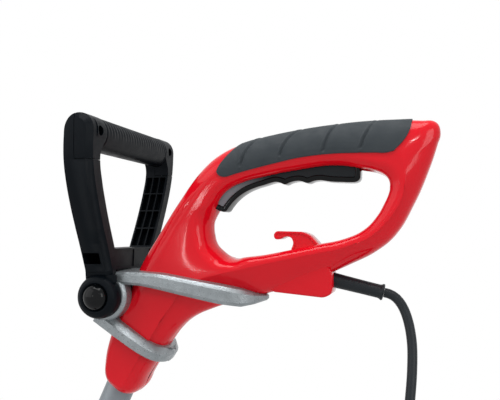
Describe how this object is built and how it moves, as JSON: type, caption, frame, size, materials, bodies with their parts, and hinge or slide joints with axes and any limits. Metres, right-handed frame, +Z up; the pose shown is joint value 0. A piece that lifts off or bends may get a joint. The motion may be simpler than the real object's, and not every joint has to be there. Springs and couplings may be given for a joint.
{
  "type": "electric string trimmer",
  "caption": "Corded string trimmer: looped rear grip with trigger, bracket with tilting D-shaped front handle, straight shaft, motor head with guard and bump-feed line spool.",
  "frame": {"origin": "centre of the rear grip's upper bar, on the middle plane, where the hand holds the tool", "axes": "+X to the rear, towards the user; +Z up, with the tool stood on its cutting head; the tool is symmetric about the plane Y = 0"},
  "size_m": [0.5432, 0.2954, 0.9115],
  "materials": {
    "red_plastic": "glossy moulded red plastic",
    "soft_rubber": "matte dark grey soft moulding",
    "black_plastic": "satin black moulded plastic",
    "gloss_black": "glossy black plastic",
    "cast_silver": "matte grainy die casting",
    "grey_tube": "smooth grey coated tube",
    "steel": "plain bright steel",
    "copper": "enamelled copper windings",
    "brass": "plain brass",
    "carbon": "matte pressed carbon",
    "lead_plastic": "semi-matte black flexible plastic",
    "nylon": "smooth clear-white nylon line",
    "white_plastic": "plain white moulded plastic",
    "blue_film": "smooth blue film-coated case"
  },
  "bodies": {
    "trimmer_body": {"housing_left": "red_plastic", "housing_right": "red_plastic", "housing_screw_1": "steel", "housing_screw_2": "steel", "housing_screw_3": "steel", "housing_screw_4": "steel", "soft_grip": "soft_rubber", "trigger_pin": "steel", "switch_body": "black_plastic", "trigger_spring": "steel", "capacitor": "blue_film", "lead_sleeve": "lead_plastic", "lead_clamp": "white_plastic", "power_lead": "lead_plastic", "plug_body": "lead_plastic", "plug_pin_left": "brass", "plug_pin_right": "brass", "shaft_tube": "grey_tube", "shaft_cable": "lead_plastic", "handle_bracket": "cast_silver", "pivot_axle": "steel", "motor_base": "black_plastic", "motor_housing_left": "red_plastic", "motor_housing_right": "red_plastic", "lower_bearing": "steel", "upper_bearing": "steel", "stator": "steel", "field_coils": "copper", "brush_carrier": "brass", "carbon_brush_left": "carbon", "carbon_brush_right": "carbon", "guard": "black_plastic", "guard_screw_left": "steel", "guard_screw_right": "steel", "line_cutter": "steel"},
    "trigger": {"trigger": "gloss_black"},
    "switch_plunger": {"switch_plunger": "white_plastic"},
    "front_handle": {"front_handle_frame": "black_plastic", "front_handle_cover": "black_plastic", "handle_screw_left": "steel", "handle_screw_right": "steel", "button_spring_left": "steel", "button_spring_right": "steel"},
    "left_button": {"release_button_left": "gloss_black"},
    "right_button": {"release_button_right": "gloss_black"},
    "cutting_head": {"motor_shaft": "steel", "rotor": "copper", "commutator": "brass", "cooling_fan": "white_plastic", "spool_housing": "black_plastic", "spool_cover": "black_plastic", "line_eyelet_left": "steel", "line_eyelet_right": "steel", "cutting_line_left": "nylon", "cutting_line_right": "nylon", "head_nut": "steel", "knob_spring": "steel"},
    "bump": {"bump_knob": "black_plastic", "spool": "white_plastic", "line_winding": "nylon"}
  },
  "joints": [
    {"name": "trigger_pivot", "type": "hinge", "parent": "trimmer_body", "child": "trigger", "pos_m": [-0.086, 0, -0.037], "axis": [0, -1, 0], "range_deg": [0, 2.5], "stiffness_Nm_per_rad": 12, "springref_deg": -1.72, "deforming": ["trigger_spring"]},
    {"name": "switch_plunger_slide", "type": "slide", "parent": "trimmer_body", "child": "switch_plunger", "axis": [0, 0, 1], "range_m": [0, 0.0036]},
    {"name": "front_handle_tilt", "type": "hinge", "parent": "trimmer_body", "child": "front_handle", "pos_m": [-0.151, 0, -0.1051], "axis": [0, -1, 0], "range_deg": [0, 50]},
    {"name": "left_button_press", "type": "slide", "parent": "front_handle", "child": "left_button", "axis": [0, 1, 0], "range_m": [0, 0.0025], "stiffness_N_per_m": 800, "springref_m": -0.003},
    {"name": "right_button_press", "type": "slide", "parent": "front_handle", "child": "right_button", "axis": [0, -1, 0], "range_m": [0, 0.0025], "stiffness_N_per_m": 800, "springref_m": -0.003},
    {"name": "cutting_head_spin", "type": "hinge", "parent": "trimmer_body", "child": "cutting_head", "pos_m": [-0.4097, 0, -0.86], "axis": [0, 0, 1], "continuous": true},
    {"name": "bump_feed", "type": "slide", "parent": "cutting_head", "child": "bump", "axis": [0, 0, 1], "range_m": [0, 0.005], "stiffness_N_per_m": 2000, "springref_m": -0.006, "deforming": ["knob_spring"]}
  ],
  "couplings": [
    {"joint": "switch_plunger_slide", "follows": "trigger_pivot", "m_per_rad": 0.081}
  ]
}
